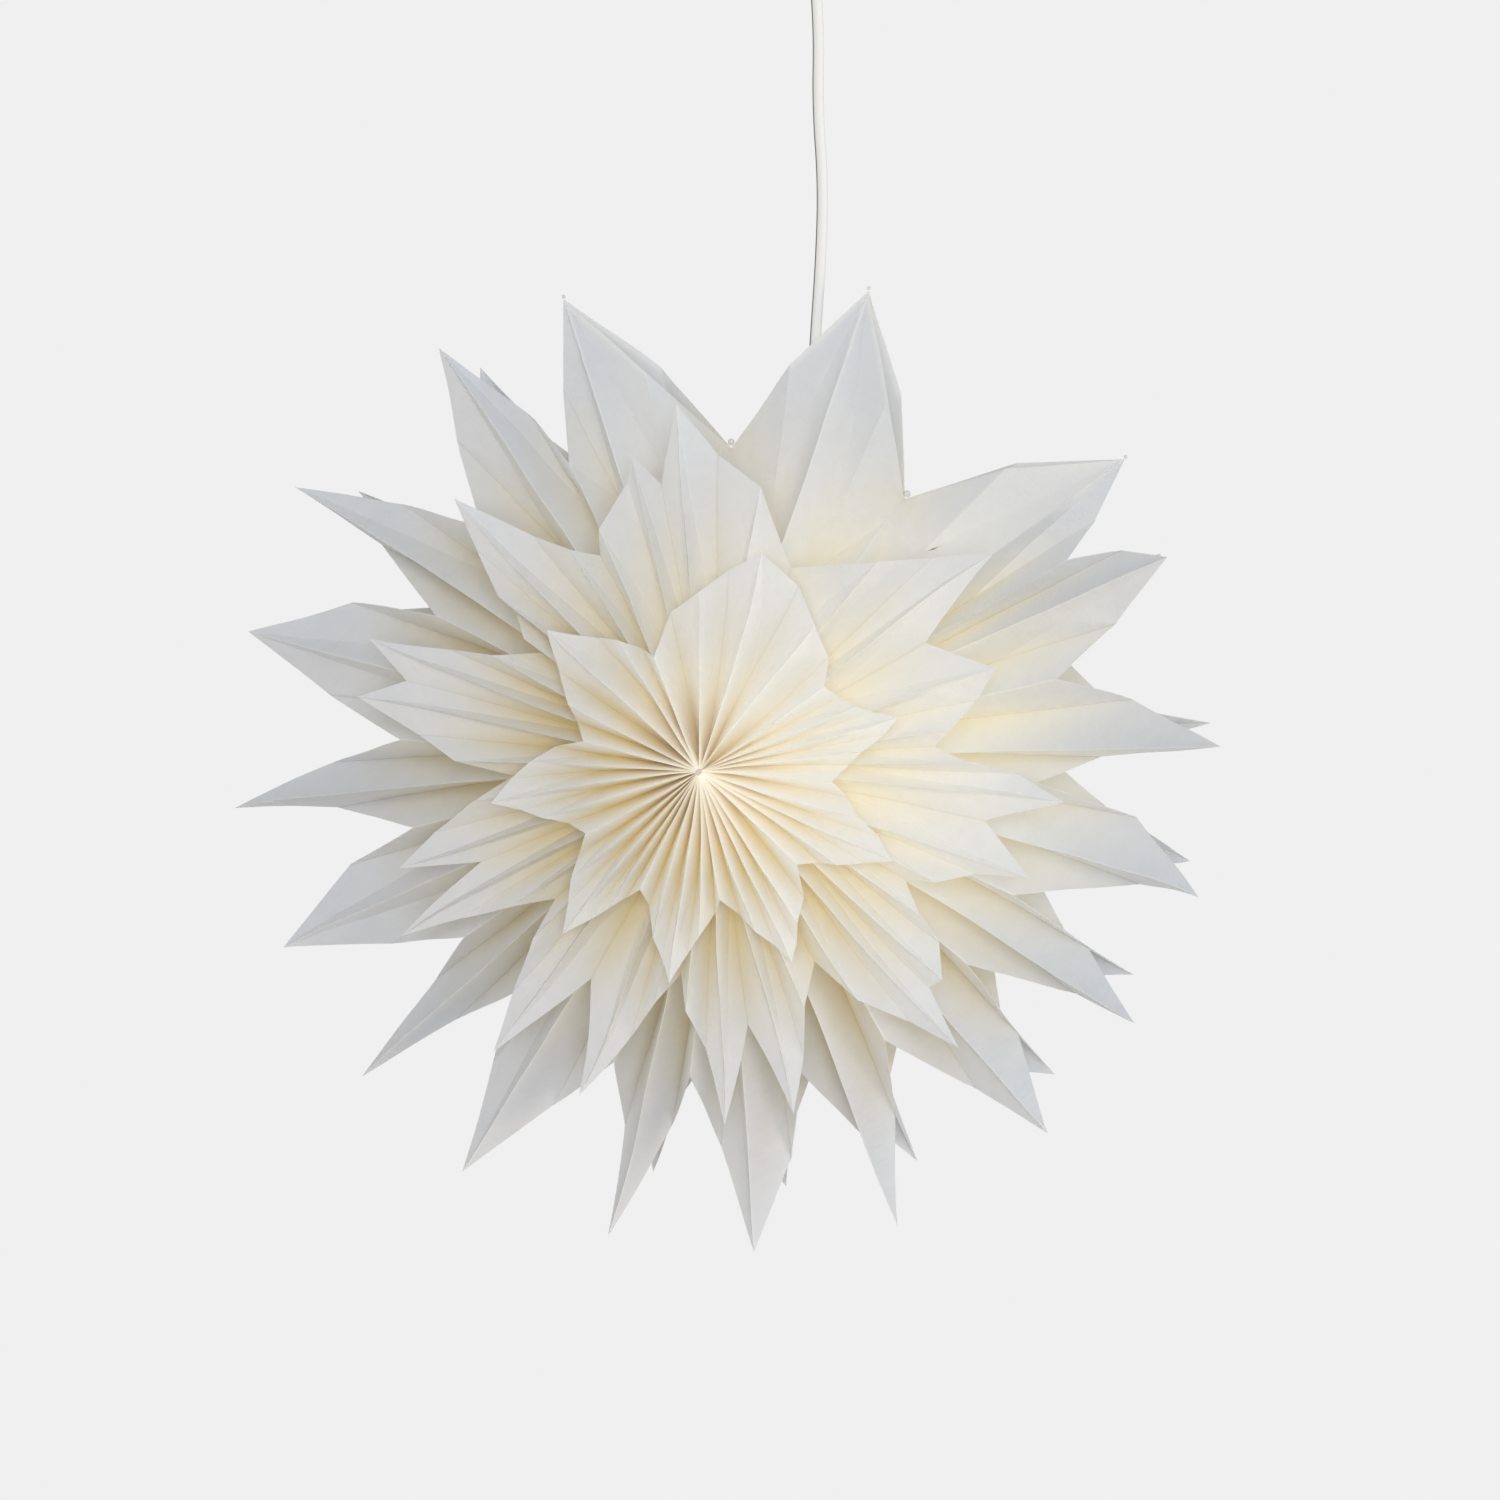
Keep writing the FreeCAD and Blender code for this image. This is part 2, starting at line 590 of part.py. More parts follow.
def cord():
    points = [vector(x, 0, z) for x, z in CORD_POINTS]
    radii = arc_radii(points)
    path = rounded_path(points, radii)
    tube = rod_along(path, CORD_RADIUS)
    expected = math.pi * CORD_RADIUS ** 2 * path.Length
    print("cord radii", [round(radius) for radius in radii])
    print("cord length", round(path.Length, 1), "volume share", round(tube.Volume / expected, 5))
    return tube


def closed_notches():
    """Places under the two closed notches where the hanger wire carries the paper."""
    places = []
    for row in LARGE_CUT:
        if row[5] == 1:
            angle, share = row[2]
            x, z = ray(angle, share * LARGE_REACH - WIRE_SEAT * WIRE_RADIUS)
            places.append(vector(STAR_X + x, 0, STAR_Z + z))
    return sorted(places, key=lambda place: place.x)


def hanger_wire():
    """Spring wire: a ring on the lampholder's dome and two arms up to the closed notches."""
    height = DOME_TOP + SEAT_GAP + WIRE_RADIUS
    ring_radius = CLAMP_RADIUS + SEAT_GAP + WIRE_RADIUS
    wire = Part.makeTorus(ring_radius, WIRE_RADIUS, vector(HOLDER_X, 0, height), UP)
    for side, notch in zip((-1, 1), closed_notches()):
        root = vector(HOLDER_X + side * ring_radius, 0, height)
        elbow = root + vector(side * WIRE_BEND * 2, 0, 0)
        beyond = notch + vector(side * WIRE_END, 0, 0)
        path = rounded_path([root, elbow, notch, beyond], [WIRE_BEND, WIRE_BEND])
        wire = wire.fuse(rod_along(path, WIRE_RADIUS))
    return wire


# ================================================================ ceiling fitting

def cup_side(outside, foot, low):
    """Foot, straight side and rounded shoulder of the cup, from the bore's edge to the ceiling."""
    height = -CUP_SIDE - low
    inward = outside - foot
    bend = (inward * inward + height * height) / (2 * inward)
    half = math.asin(height / bend) / 2 if bend > height else math.pi / 4
    middle = (outside - bend + bend * math.cos(half), -CUP_SIDE - bend * math.sin(half))
    return [(foot, low), (outside, -CUP_SIDE, middle), (outside, -SEAT_GAP)]


def ceiling_cup():
    """Domed cup, open to the ceiling, with a hole for the cord's bush at its foot."""
    bore = BUSH_RADIUS + SEAT_GAP
    low = -CUP_HEIGHT
    outside = cup_side(CUP_RADIUS, CUP_FOOT_RADIUS, low)
    inside = cup_side(CUP_RADIUS - CUP_WALL, CUP_FOOT_RADIUS, low + CUP_WALL)
    foot, shoulder, rim = inside
    back = [rim, shoulder[:2], (*foot, shoulder[2])]
    cup = turned([(bore, low), *outside, *back, (bore, low + CUP_WALL)])
    for side in (-1, 1):
        start = vector(side * (CUP_RADIUS - 4 * CUP_WALL), 0, side_screw_height())
        hole = Part.makeCylinder(SIDE_SCREW_RADIUS + SEAT_GAP, 6 * CUP_WALL, start, vector(side, 0, 0))
        cup = cup.cut(hole)
    return cup


def side_screw_height():
    return -STRAP_THICKNESS - STRAP_TAB * 0.6


def ceiling_strap():
    """Steel strap screwed to the ceiling, its two ends bent down to take the side screws."""
    strap = Part.makeBox(STRAP_LENGTH, STRAP_WIDTH, STRAP_THICKNESS,
                         vector(-STRAP_LENGTH / 2, -STRAP_WIDTH / 2, -STRAP_THICKNESS))
    for side in (-1, 1):
        inside = min(side * STRAP_LENGTH / 2, side * (STRAP_LENGTH / 2 - STRAP_THICKNESS))
        corner = vector(inside, -STRAP_WIDTH / 2, -STRAP_THICKNESS - STRAP_TAB)
        tab = Part.makeBox(STRAP_THICKNESS, STRAP_WIDTH, STRAP_TAB, corner)
        strap = strap.fuse(tab)
        start = vector(side * (STRAP_LENGTH / 2 - 2 * STRAP_THICKNESS), 0, side_screw_height())
        hole = Part.makeCylinder(SIDE_SCREW_RADIUS, 3 * STRAP_THICKNESS, start, vector(side, 0, 0))
        strap = strap.cut(hole)
    for side in (-1, 1):
        place = vector(side * SCREW_SPACING / 2, 0, -STRAP_THICKNESS)
        strap = strap.cut(Part.makeCylinder(SCREW_HOLE_RADIUS, STRAP_THICKNESS, place, UP))
    return strap.removeSplitter()


def cup_screws():
    """Two side screws that hold the cup on the strap's bent ends."""
    screws = []
    for side in (-1, 1):
        outward = vector(side, 0, 0)
        head = vector(side * (CUP_RADIUS + SEAT_GAP), 0, side_screw_height())
        inner = vector(side * (STRAP_LENGTH / 2 - 3 * STRAP_THICKNESS), 0, side_screw_height())
        length = head.distanceToPoint(inner) + SEAT_GAP
        stem = Part.makeCylinder(SIDE_SCREW_RADIUS, length, inner, outward)
        cap = Part.makeCylinder(SIDE_SCREW_HEAD, SIDE_SCREW_HEAD_LENGTH, head, outward)
        screws.append(stem.fuse(cap).removeSplitter())
    return Part.makeCompound(screws)


def cup_bush():
    """Flanged bush that holds the cord in the cup's foot."""
    low = -CUP_HEIGHT - SEAT_GAP
    return turned([
        (CORD_BORE, low - BUSH_FLANGE),
        (BUSH_FLANGE_RADIUS - BUSH_FLANGE / 2, low - BUSH_FLANGE),
        (BUSH_FLANGE_RADIUS, low),
        (BUSH_RADIUS, low),
        (BUSH_RADIUS, low + BUSH_LENGTH),
        (CORD_BORE, low + BUSH_LENGTH),
    ])


def terminal_block():
    """Block of wire clamps under the strap, above the cord's end."""
    length, width, height = BLOCK_SIZE
    corner = vector(-length / 2, -width / 2, -STRAP_THICKNESS - SEAT_GAP - height)
    block = Part.makeBox(length, width, height, corner)
    for place in (-1, 0, 1):
        start = vector(place * length / 3, -width / 2, corner.z + height / 2)
        block = block.cut(Part.makeCylinder(BLOCK_WIRE_RADIUS, width, start, vector(0, 1, 0)))
    return block


# ================================================================ output

def nodes():
    parts = {}
    parts.update(paper_half("front", -1, LARGE_REACH, 0.0))
    parts.update(paper_half("back", 1, LARGE_BACK_REACH, BACK_TURN))
    parts["glue_dots"] = glue_dots()
    parts["hanger_wire"] = hanger_wire()
    parts["bulb"] = bulb()
    parts["lampholder_shell"] = lampholder_shell()
    parts["lampholder_dome"] = lampholder_dome()
    parts["lampholder_sleeve"] = lampholder_sleeve()
    parts["contact_block"] = contact_block()
    parts["centre_contact"] = centre_contact()
    parts["cord_clamp"] = cord_clamp()
    parts["cord"] = cord()
    parts["ceiling_cup"] = ceiling_cup()
    parts["ceiling_strap"] = ceiling_strap()
    parts["cup_screws"] = cup_screws()
    parts["cup_bush"] = cup_bush()
    parts["terminal_block"] = terminal_block()
    return parts


def main():
    os.makedirs("parts", exist_ok=True)
    for name, shape in nodes().items():
        print(name, "valid" if shape.isValid() else "NOT VALID", round(shape.Volume, 1))
        shape.exportStep("parts/" + name + ".step")


main()
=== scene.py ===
"""Looks of the hanging paper star lamp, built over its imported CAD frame. Metres, +Z up, and
angles in degrees where nothing else is said."""

import math
import random

import bmesh
import bpy
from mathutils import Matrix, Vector, noise

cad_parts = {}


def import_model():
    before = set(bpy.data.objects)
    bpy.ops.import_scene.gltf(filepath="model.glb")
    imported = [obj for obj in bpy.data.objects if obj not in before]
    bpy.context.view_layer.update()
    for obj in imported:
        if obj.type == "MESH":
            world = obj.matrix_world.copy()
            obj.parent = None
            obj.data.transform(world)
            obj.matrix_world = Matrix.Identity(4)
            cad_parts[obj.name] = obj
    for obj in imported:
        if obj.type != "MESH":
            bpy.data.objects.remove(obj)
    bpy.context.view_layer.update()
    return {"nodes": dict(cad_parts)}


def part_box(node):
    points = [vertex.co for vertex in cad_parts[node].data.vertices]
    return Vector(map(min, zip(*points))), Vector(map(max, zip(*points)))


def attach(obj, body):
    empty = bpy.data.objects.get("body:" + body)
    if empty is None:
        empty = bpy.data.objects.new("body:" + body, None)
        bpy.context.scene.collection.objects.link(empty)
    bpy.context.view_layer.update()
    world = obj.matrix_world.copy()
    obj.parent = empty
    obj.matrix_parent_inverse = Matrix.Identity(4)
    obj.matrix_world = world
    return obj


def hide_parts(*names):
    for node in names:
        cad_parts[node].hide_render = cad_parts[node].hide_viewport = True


# ---------------------------------------------------------------- sizes
STAR = Vector((-0.039, 0.0, -0.540))   # the star's axis at its mid-plane
CAMERA_AZIMUTH = 15.0
CAMERA_ELEVATION = 10.0
CAMERA_DISTANCE = 2.6
CAMERA_HALF_ANGLE = 9.9                # half the angle of view
CAMERA_SHIFT = (0.0006, -0.0061)       # of the aim from the star's axis, to the right and up

PAPER = 0.00028                        # thickness of the paper's cut edge
FOLD_ANGLE = 18.0                      # a bend sharper than this between facets is a fold
RAY_ANGLE = 0.5                        # an edge this close to a ray from the axis runs outward
SMOOTHING = 3                          # subdivisions of a facet
BUCKLE = 0.0011                        # depth of the paper's slow unevenness
NOISE_SEED = 1                         # of that unevenness, so that every run gives the same
SHEET_SEED_STEP = 7                    # between the seeds of one half's sheets
BUCKLE_RATE = 22.0                     # its waves in a metre
BUCKLE_START = 0.12                    # how far from the axis it has its full depth
# The folds are bunched unevenly round the knot, by waves: times round, turn in radians, phase.
GATHERS = ((7, 0.050, 0.6), (12, 0.032, 2.1))
GATHER_REACH = 0.11                    # how far from the axis they are bunched
TIP_RISE = 0.004                       # a tip stands out this much from the rim beside it
CURL_LENGTH = 0.045                    # length of a tip that can curl
CURL_MOST = 0.003                      # furthest that a tip curls off its ridge

FLOOR_DROP = 3.0                       # from the star down to the floor
FLOOR_SIZE = 60.0
BACKDROP = (0.871, 0.871, 0.871)       # tone of the floor and of what lies behind it

CORD_RADIUS = 0.0033
CORD_SHADE_SIDE = (-0.966, -0.259, 0.0)   # the side of the cord that is in shade
# From the lampholder up to the ceiling cup: x and z, in the plane y = 0.
CORD_POINTS = [
    (-0.0050, -0.455),
    (-0.0050, -0.426),
    (-0.0043, -0.392),
    (-0.0014, -0.352),
    (0.0012, -0.304),
    (0.0049, -0.250),
    (0.0062, -0.206),
    (0.0026, -0.160),
    (0.0034, -0.117),
    (0.0000, -0.075),
    (0.0000, -0.034),
]

# ---------------------------------------------------------------- the paper's tones and glow
# For each sheet: how far from the axis the lamp's warm light is painted into its valleys, how
# strongly the valleys shine, and how much of the painted warm shade its downward facets have.
SHEETS = {
    "large": (0.27, 0.09, 0.45),
    "middle": (0.19, 0.03, 0.55),
    "small": (0.125, 0.0, 0.12),
}
COOL_TONES = ((0.84, 0.85, 0.87), (0.88, 0.89, 0.91))       # far from the axis
LAMP_GLOW_TONES = ((0.925, 0.92, 0.90), (0.95, 0.945, 0.93))     # near it, painted warmer and lighter as by the lamp's glow
NEAR = (0.05, 0.27)                    # from all of that painted glow to all cool, away from the axis
VALLEY_TONE = (0.69, 0.53, 0.14)       # painted warm shade deep in a fold that the lamp shines into
HEART_TONE = (0.66, 0.46, 0.13)        # the same at the gathered centre
WARM_CORE = 0.35                       # up to this share of its reach the warm light is full
WARM_SHADE_NARROWNESS = (1.1, 1.6)          # of the painted warm shade in the folds, at the axis and at its reach
CLOSED_FOLD_SHADE_TONE = (0.30, 0.16, 0.03)        # painted dark shade where the gathered folds close
CLOSED_FOLD_SHADE_NARROWNESS = 2.0
CLOSED_FOLD_SHADE_REACH = (0.012, 0.058)           # from all of that painted shade to none, away from the axis
RIDGE_HIGHLIGHT_AND_WEAR_TONE = (0.97, 0.965, 0.94)        # painted highlight on the ridges, and the paper whitened where it is folded
RIDGE_HIGHLIGHT_AND_WEAR = 0.7                        # strength of that tone
FOLD_TONE = (0.50, 0.43, 0.34)         # painted shade: the line at the bottom of a fold
FOLD_SHADE = 0.18                      # strength of that tone
DOWNWARD = (-0.45, 0.1)                # height of a facet's normal, from all painted warm shade to none
SHADE_SIDE = (-0.64, 0.0, -0.77)       # the side of the star that the room lights least
SHADE_START = (-0.060, 0.040)          # from the bright side to the shaded one
LIT_SIDE_WARM_SHADE = 0.35                  # share of the painted warm shade that the bright side still has
DARKEST_FOLDS_SIDE = (-1.0, 0.0, 0.0)          # painted shade in the closed folds is darkest here, away from the bulb
DARKEST_FOLDS_SPAN = 0.8                       # all of that shade above this cosine to it, least below minus it
OTHER_SIDE_FOLD_SHADE = 0.35                # share of that painted shade that the other side still has

TRANSLUCENCY = 0.22                    # share of the light that goes through the paper
SHEEN = 0.03                           # share that the paper's surface mirrors
THROUGH_TONES = ((0.86, 0.86, 0.83), (0.93, 0.89, 0.76))    # of that light, far and near
GLOW_TONE = (1.0, 0.95, 0.77)
GLOW_CENTRE = (0.092, 0.0, 0.0)        # where the bulb shines through most, from the axis
GLOW_REACH = (0.02, 0.20)              # from full glow to none, away from that place
GLOW_STRENGTH = 0.08
HEART_STRENGTH = 0.135                 # of the light that the gathered folds pass to each other
HEART_REACH = 0.095

# ---------------------------------------------------------------- lights
# Name, azimuth, elevation, strength, width in degrees and tint. The two from below stand for
# the warmer light that a room sends back.
SOFT_LIGHTS = (
    ("room", 15.0, 12.0, 1.29, 32.0, (1.0, 0.99, 1.0)),
    ("side", 95.0, 12.0, 0.45, 35.0, (0.55, 0.82, 1.0)),
    ("floor_right", 90.0, -30.0, 0.95, 35.0, (1.0, 0.82, 0.62)),
    ("floor_left", -60.0, -30.0, 0.38, 35.0, (1.0, 0.82, 0.55)),
)
BULB_POWER = 18.0
BULB_TINT = (1.0, 0.97, 0.90)
BULB_RADIUS = 0.0225
ALL_ROUND_LIGHT = (0.39, 0.40, 0.415)

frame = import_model()
nodes = frame["nodes"]


# ---------------------------------------------------------------- shader helpers

def new_material(name):
    material = bpy.data.materials.new(name)
    material.use_nodes = True
    tree = material.node_tree
    tree.nodes.clear()
    return material, tree


def add(tree, kind, inputs=None, **settings):
    """A shader node with its settings and its sockets' constants, or links, set."""
    node = tree.nodes.new(kind)
    for key, value in settings.items():
        setattr(node, key, value)
    for key, value in (inputs or {}).items():
        if isinstance(value, bpy.types.NodeSocket):
            tree.links.new(value, node.inputs[key])
        else:
            node.inputs[key].default_value = value
    return node


def output(tree, shader):
    add(tree, "ShaderNodeOutputMaterial", {"Surface": shader})


def number(tree, operation, first, second=0.0):
    """Number from one or two numbers."""
    node = add(tree, "ShaderNodeMath", {0: first, 1: second}, operation=operation)
    return node.outputs[0]


def vector(tree, operation, first, second=(0.0, 0.0, 0.0)):
    """Vector from one or two vectors."""
    node = add(tree, "ShaderNodeVectorMath", {0: first, 1: second}, operation=operation)
    return node.outputs["Vector"]


def measure(tree, operation, first, second=(0.0, 0.0, 0.0)):
    """Number from one or two vectors: a length or a dot product."""
    node = add(tree, "ShaderNodeVectorMath", {0: first, 1: second}, operation=operation)
    return node.outputs["Value"]


def ramp(tree, value, low, high, to_low=0.0, to_high=1.0):
    """Smooth step of a value, from to_low at low to to_high at high."""
    node = add(tree, "ShaderNodeMapRange", {
        "Value": value, "From Min": low, "From Max": high, "To Min": to_low, "To Max": to_high,
    }, interpolation_type="SMOOTHSTEP")
    return node.outputs[0]


def mix_colour(tree, factor, first, second, blend="MIX"):
    """Colour between two, by a factor. The Mix node has its colour sockets at places 6 and 7."""
    node = add(tree, "ShaderNodeMix", data_type="RGBA", blend_type=blend)
    for place, value in ((0, factor), (6, first), (7, second)):
        if isinstance(value, bpy.types.NodeSocket):
            tree.links.new(value, node.inputs[place])
        else:
            node.inputs[place].default_value = value
    return node.outputs[2]


def noise_texture(tree, place, scale, detail=3.0, roughness=0.5):
    node = add(tree, "ShaderNodeTexNoise",
               {"Vector": place, "Scale": scale, "Detail": detail, "Roughness": roughness})
    return node.outputs["Fac"]


def colour(red, green, blue):
    return (red, green, blue, 1.0)


def principled(name, base, roughness, metallic=0.0, grain=(900.0, 0.1), mottle=0.06, **extra):
    """A plain solid finish with a fine grain and a slow change of tone."""
    material, tree = new_material(name)
    place = add(tree, "ShaderNodeTexCoord").outputs["Object"]
    grain_scale, grain_strength = grain
    slow = noise_texture(tree, place, 45.0)
    fine = noise_texture(tree, place, grain_scale, 4.0)
    darker = colour(*(part * (1 - mottle) for part in base))
    tone = mix_colour(tree, slow, darker, colour(*base))
    varied = add(tree, "ShaderNodeMath", {0: fine, 1: 0.15, 2: roughness - 0.075},
                 operation="MULTIPLY_ADD")
    bump = add(tree, "ShaderNodeBump",
               {"Height": fine, "Strength": grain_strength, "Distance": 0.0003})
    shader = add(tree, "ShaderNodeBsdfPrincipled", {
        "Base Color": tone, "Roughness": varied.outputs[0], "Metallic": metallic,
        "Normal": bump.outputs[0], **extra,
    })
    output(tree, shader.outputs[0])
    return material


# ---------------------------------------------------------------- paper's material

def painted_warm_shade(tree, depth, upness, away, warm_reach, downward_share):
    """Painted warm shade, lit by the lamp: most in the folds' depth, and on facets that face down.
    """
    narrow = ramp(tree, away, 0.0, warm_reach, *WARM_SHADE_NARROWNESS)
    downward = ramp(tree, upness, *DOWNWARD, downward_share, 0.0)
    return number(tree, "MAXIMUM", number(tree, "POWER", depth, narrow), downward)


def painted_closed_fold_shade(tree, depth, away, turn):
    """Painted dark shade in the closed depth of the gathered folds, most on the side away from the
    bulb.
    """
    gathered = ramp(tree, away, *CLOSED_FOLD_SHADE_REACH, 1.0, 0.0)
    towards_darkest = measure(tree, "DOT_PRODUCT", turn, DARKEST_FOLDS_SIDE)
    darkest_side = ramp(tree, towards_darkest, -DARKEST_FOLDS_SPAN, DARKEST_FOLDS_SPAN, OTHER_SIDE_FOLD_SHADE, 1.0)
    closed = number(tree, "POWER", depth, CLOSED_FOLD_SHADE_NARROWNESS)
    return number(tree, "MULTIPLY", number(tree, "MULTIPLY", closed, gathered), darkest_side)


def long_streaks(tree, turn, away):
    """Noise that is drawn out along the pleats."""
    outwards = add(tree, "ShaderNodeCombineXYZ", {"Y": number(tree, "MULTIPLY", away, 4.0)})
    along = vector(tree, "ADD", turn, outwards.outputs[0])
    return noise_texture(tree, along, 26.0, 3.0, 0.6)


def paper_bump(tree, place, streaks):
    """Normal with the paper's fibres and the long streaks of its pleating."""
    fibres = noise_texture(tree, place, 1400.0, 6.0, 0.65)
    fine = add(tree, "ShaderNodeBump", {"Height": fibres, "Strength": 0.12, "Distance": 0.0004})
    slow = add(tree, "ShaderNodeBump", {
        "Height": streaks, "Strength": 0.3, "Distance": 0.004, "Normal": fine.outputs[0],
    })
    return slow.outputs[0]


def paper_tone(tree, place, near, crest, streaks, amber, heart, closed_fold_shade):
    """Colour of the paper, with painted glow and shade in its folds, and the lines of its folds: a
    painted highlight with some wear on each ridge, and painted shade in each valley.
    """
    clouds = noise_texture(tree, place, 60.0, 3.0)
    cool = mix_colour(tree, clouds, *(colour(*tone) for tone in COOL_TONES))
    # Painted lamp glow: the paper warmer and lighter near the axis.
    warm = mix_colour(tree, clouds, *(colour(*tone) for tone in LAMP_GLOW_TONES))
    tone = mix_colour(tree, near, cool, warm)
    # Painted warm shade and lamp glow deep in the folds, darker at the gathered centre.
    deep = mix_colour(tree, heart, colour(*VALLEY_TONE), colour(*HEART_TONE))
    tone = mix_colour(tree, amber, tone, deep)
    # Painted dark shade where the gathered folds close.
    tone = mix_colour(tree, closed_fold_shade, tone, colour(*CLOSED_FOLD_SHADE_TONE))
    streak_tone = ramp(tree, streaks, 0.3, 0.7, 0.975, 1.0)
    tone = mix_colour(tree, 1.0, tone, streak_tone, "MULTIPLY")
    # Painted highlight on the ridges, with the paper whitened where it is folded.
    ridge_highlight_and_wear = number(tree, "MULTIPLY", ramp(tree, crest, 0.95, 0.995), RIDGE_HIGHLIGHT_AND_WEAR)
    tone = mix_colour(tree, ridge_highlight_and_wear, tone, colour(*RIDGE_HIGHLIGHT_AND_WEAR_TONE))
    # Painted shade at the bottom of each fold.
    fold_line = ramp(tree, crest, 0.0, 0.04, FOLD_SHADE, 0.0)
    return mix_colour(tree, fold_line, tone, colour(*FOLD_TONE))


def paper_surface(tree, tone, near, bump):
    """Matt thin paper that passes some light on, with a faint sheen."""
    light_through = mix_colour(tree, near, *(colour(*passed) for passed in THROUGH_TONES))
    matt = add(tree, "ShaderNodeBsdfDiffuse", {"Color": tone, "Roughness": 0.4, "Normal": bump})
    through = add(tree, "ShaderNodeBsdfTranslucent", {"Color": light_through, "Normal": bump})
    thin = add(tree, "ShaderNodeMixShader",
               {0: TRANSLUCENCY, 1: matt.outputs[0], 2: through.outputs[0]})
    sheen = add(tree, "ShaderNodeBsdfGlossy",
                {"Color": colour(1, 1, 1), "Roughness": 0.55, "Normal": bump})
    return add(tree, "ShaderNodeMixShader", {0: SHEEN, 1: thin.outputs[0], 2: sheen.outputs[0]})


def paper_glow(tree, tone, flat, depth, shining, valley_light, heart, closed_fold_shade):
    """The lamp's own light on the paper: round the place where the bulb shines through, in the
    valleys, and at the gathered centre, in the paper's own tone."""
    to_glow = vector(tree, "SUBTRACT", flat, GLOW_CENTRE)
    glowing = ramp(tree, measure(tree, "LENGTH", to_glow), *GLOW_REACH, 1.0, 0.0)
    inner = number(tree, "MULTIPLY", ramp(tree, depth, 0.0, 1.0, 0.4, 1.0), shining)
    inner = number(tree, "MULTIPLY", inner, valley_light)
    strength = number(tree, "ADD", number(tree, "MULTIPLY", glowing, GLOW_STRENGTH), inner)
    lit = add(tree, "ShaderNodeEmission", {"Color": colour(*GLOW_TONE), "Strength": strength})
    open_fold = number(tree, "SUBTRACT", 1.0, closed_fold_shade)
    passed_on = number(tree, "MULTIPLY", heart, HEART_STRENGTH)
    passed_on = number(tree, "MULTIPLY", passed_on, open_fold)
    passed = add(tree, "ShaderNodeEmission", {"Color": tone, "Strength": passed_on})
    return add(tree, "ShaderNodeAddShader", {0: lit.outputs[0], 1: passed.outputs[0]})


def paper_material(name, warm_reach, valley_light, downward_share):
    """Thin uncoated paper, with painted light in its colour: cool white as by daylight, painted
    warmer towards the lamp inside it, most of all in the valleys up to warm_reach from the axis."""
    material, tree = new_material(name)
    material.cycles.emission_sampling = "NONE"
    geometry = add(tree, "ShaderNodeNewGeometry").outputs
    place = geometry["Position"]
    upness = add(tree, "ShaderNodeSeparateXYZ", {0: geometry["Normal"]}).outputs["Z"]
    from_star = vector(tree, "SUBTRACT", place, tuple(STAR))
    flat = vector(tree, "MULTIPLY", from_star, (1.0, 0.0, 1.0))
    turn = vector(tree, "NORMALIZE", flat)
    away = measure(tree, "LENGTH", flat)
    crest = add(tree, "ShaderNodeAttribute", attribute_name="crest").outputs["Fac"]
    depth = number(tree, "SUBTRACT", 1.0, crest)

    near = ramp(tree, away, *NEAR, 1.0, 0.0)
    heart = ramp(tree, away, 0.0, HEART_REACH, 1.0, 0.0)
    shining = ramp(tree, away, WARM_CORE * warm_reach, warm_reach, 1.0, 0.0)
    shadewards = measure(tree, "DOT_PRODUCT", flat, SHADE_SIDE)
    unlit = ramp(tree, shadewards, *SHADE_START, LIT_SIDE_WARM_SHADE, 1.0)
    # Painted warm shade in the folds and on downward facets, stronger on the side the room lights
    # least.
    warm_shaded = painted_warm_shade(tree, depth, upness, away, warm_reach, downward_share)
    amber = number(tree, "MULTIPLY", number(tree, "MULTIPLY", warm_shaded, shining), unlit)
    # Painted dark shade where the gathered folds close.
    closed_fold_shade = painted_closed_fold_shade(tree, depth, away, turn)
    streaks = long_streaks(tree, turn, away)

    tone = paper_tone(tree, place, near, crest, streaks, amber, heart, closed_fold_shade)
    surface = paper_surface(tree, tone, near, paper_bump(tree, place, streaks))
    glow = paper_glow(tree, tone, flat, depth, shining, valley_light, heart, closed_fold_shade)
    shader = add(tree, "ShaderNodeAddShader", {0: surface.outputs[0], 1: glow.outputs[0]})
    output(tree, shader.outputs[0])
    return material


# ---------------------------------------------------------------- paper's shape

def from_axis(point):
    """Angle and distance of a point from the star's axis, in the star's plane."""
    x = point.x - STAR.x
    z = point.z - STAR.z
    return math.atan2(z, x), math.hypot(x, z)


def runs_outward(edge):
    """Whether an edge lies on a ray from the star's axis."""
    turns = [from_axis(vertex.co)[0] for vertex in edge.verts]
    return abs(math.remainder(turns[0] - turns[1], 2 * math.pi)) < math.radians(RAY_ANGLE)


def outer_skin(node, side):
    """The outward faces of a pleated CAD sheet, as a bmesh."""
    mesh = bmesh.new()
    mesh.from_mesh(nodes[node].data)
    bmesh.ops.remove_doubles(mesh, verts=mesh.verts, dist=1e-6)
    mesh.normal_update()
    inward = [face for face in mesh.faces if face.normal.y * side < 1e-4]
    bmesh.ops.delete(mesh, geom=inward, context="FACES")
    return mesh


